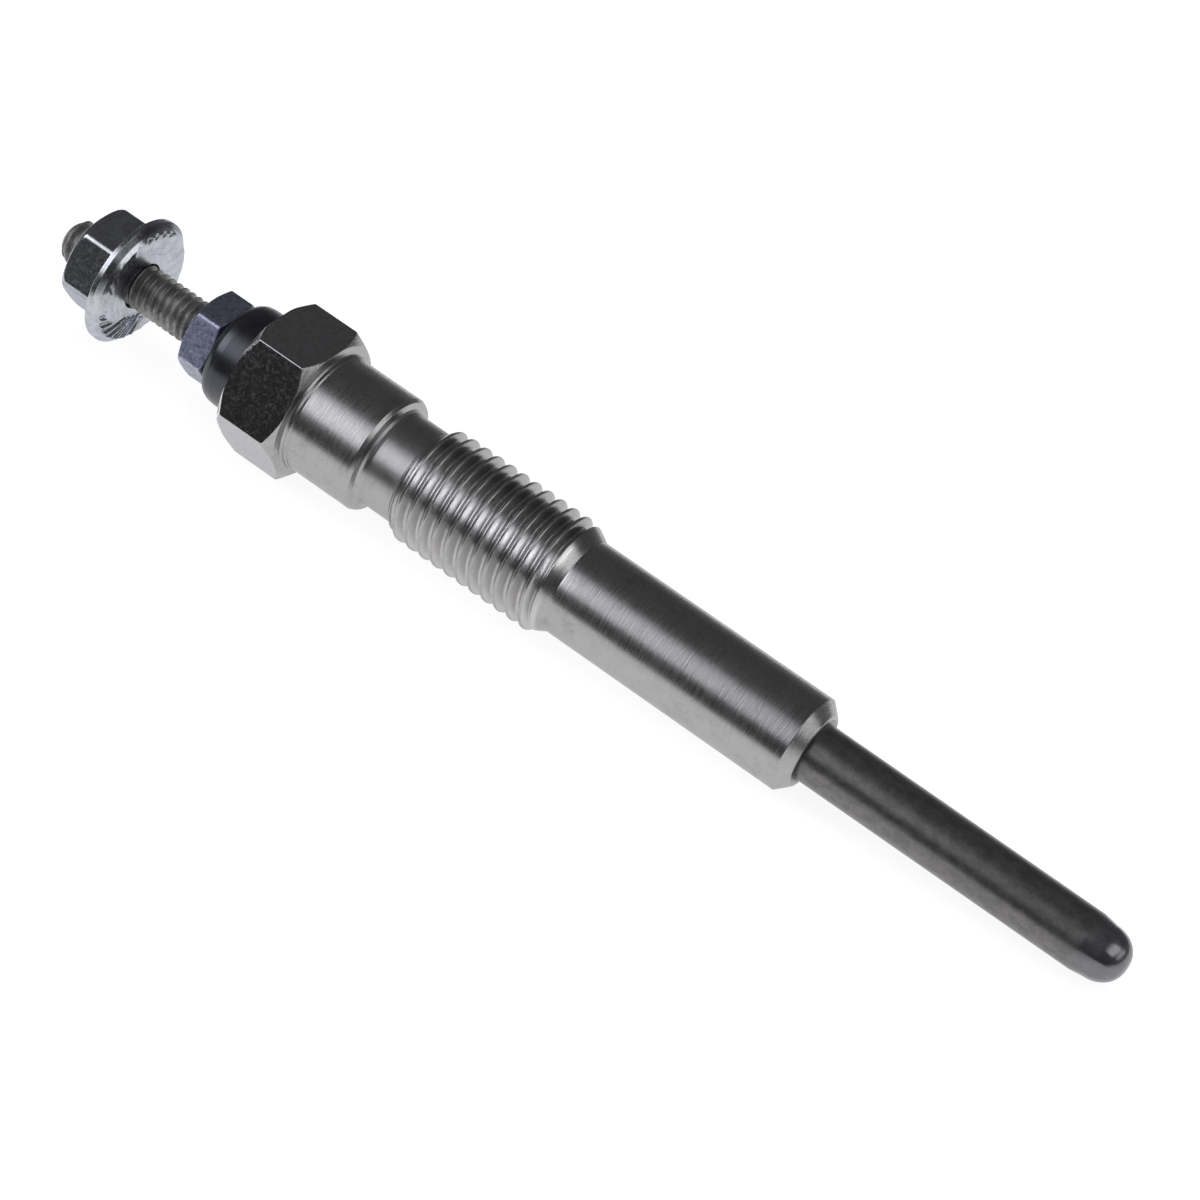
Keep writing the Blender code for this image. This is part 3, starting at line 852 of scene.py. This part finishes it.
# a dark room, darkest near the horizon
n = Nodes(wt)
sky = n.separate(n.add("ShaderNodeTexCoord").outputs["Generated"])
height = sky[2]
behind = n.math("MULTIPLY", n.ramp(sky[1], 0.45, 0.85), n.ramp(height, 0.0, 0.50, 0.17, 0.0, False))
background.inputs["Color"].default_value = (0.97, 0.97, 1.0, 1)
n.feed(background.inputs["Strength"], n.math("ADD", behind, n.ramp(height, 0.25, 0.60, 0.036, 0.090)))
seen = wt.nodes.new("ShaderNodeBackground")
seen.inputs["Color"].default_value = (1.0, 1.0, 1.0, 1)
path = wt.nodes.new("ShaderNodeLightPath")
pick = wt.nodes.new("ShaderNodeMixShader")
wt.links.new(path.outputs["Is Camera Ray"], pick.inputs[0])
wt.links.new(background.outputs[0], pick.inputs[1])
wt.links.new(seen.outputs[0], pick.inputs[2])
wt.links.new(pick.outputs[0], wt.nodes["World Output"].inputs["Surface"])


def area(name, direction, distance, size, radiance, glossy=True, diffuse=True, tall=None, spread=180):
    """A soft box in this direction from the plug, facing it. radiance is its brightness."""
    light = bpy.data.lights.new(name, "AREA")
    light.shape = "RECTANGLE"
    light.size = size
    light.size_y = tall or size
    light.energy = radiance * math.pi * size * (tall or size)
    light.spread = math.radians(spread)
    obj = bpy.data.objects.new(name, light)
    bpy.context.scene.collection.objects.link(obj)
    back = Vector(direction).normalized()
    obj.location = back * distance
    obj.rotation_mode = "QUATERNION"
    obj.rotation_quaternion = back.to_track_quat("Z", "Y")
    obj.visible_glossy = glossy
    obj.visible_diffuse = diffuse
    obj.visible_camera = False
    return obj


def around(elevation, back=False, along=0.0):
    """Unit direction at this elevation across the plug, swung by along degrees towards the tip."""
    e, a = math.radians(elevation), math.radians(along)
    out = SIDE * (-math.cos(e) if back else math.cos(e)) + Vector((0, 0, 1)) * math.sin(e)
    return out * math.cos(a) + Vector((1, 0, 0)) * math.sin(a)


area("overhead", (0.05, 0.1, 1), 1.3, 1.6, 1.75, glossy=False)

# the soft box on the camera's side: bright towards the tail and fading towards the tip
box = area("camera_side", around(52), 0.65, 1.04, 1.0, tall=0.60)
box.location.x = -0.38
box.data.use_nodes = True
n = Nodes(box.data.node_tree)
lamp = [node for node in box.data.node_tree.nodes if node.type == "EMISSION"][0]
x, y, z = n.separate(n.add("ShaderNodeNewGeometry").outputs["Position"])[:3]
glow = n.math("ADD", n.ramp(x, -0.30, 0.02, 1.85, 0.05, False), n.ramp(x, -0.62, -0.46, 4.2, 0.0))
glow = n.math("MULTIPLY", glow, n.ramp(z, 0.54, 0.71, 1.0, 0.15))
n.feed(lamp.inputs["Strength"], n.math("MULTIPLY", glow, n.ramp(z, 0.32, 0.42, 0.75, 1.0)))
lamp.inputs["Color"].default_value = (0.955, 0.965, 1.0, 1)

# and the one beyond the tip, seen in the cones and on the dome
area("tip_side", (0.68, -0.05, 0.73), 0.60, 0.50, 1.55, tall=0.28)
low_lamp = area("tip_side_low", (0.905, 0.165, 0.36), 0.28, 0.20, 1.5, tall=0.055)
low_lamp.location.x += 0.023

# camera: the plug's axis runs through the picture's middle at 34.7 degrees
FOCAL_PX, DISTANCE, TILT, ROUND = 3286.0, 253.2 * MM, math.radians(16.57), math.radians(45.2)
IMAGE_ANGLE = math.radians(34.737)
OFFSET_PX = 2.88
across = (UP * math.cos(ROUND) + SIDE * math.sin(ROUND)).normalized()
to_camera = (ALONG * math.sin(TILT) + across * math.cos(TILT)).normalized()
t_dir = (ALONG - to_camera * ALONG.dot(to_camera)).normalized()
w_dir = t_dir.cross(to_camera).normalized()
right = t_dir * math.cos(IMAGE_ANGLE) - w_dir * math.sin(IMAGE_ANGLE)
down = t_dir * math.sin(IMAGE_ANGLE) + w_dir * math.cos(IMAGE_ANGLE)
aim = AXIS @ Vector((0, 0, 0))
place = aim + to_camera * DISTANCE - w_dir * (OFFSET_PX / FOCAL_PX * DISTANCE)
lens = bpy.data.cameras.new("camera")
lens.sensor_width = 36.0
lens.lens = FOCAL_PX / 1200 * 36.0
lens.clip_start, lens.clip_end = 0.005, 20.0
camera = bpy.data.objects.new("camera", lens)
bpy.context.scene.collection.objects.link(camera)
rotation = Matrix((right, -down, to_camera)).transposed()
camera.matrix_world = Matrix.Translation(place) @ rotation.to_4x4()
bpy.context.scene.camera = camera

bpy.context.scene.view_settings.view_transform = "Standard"

bpy.context.view_layer.update()
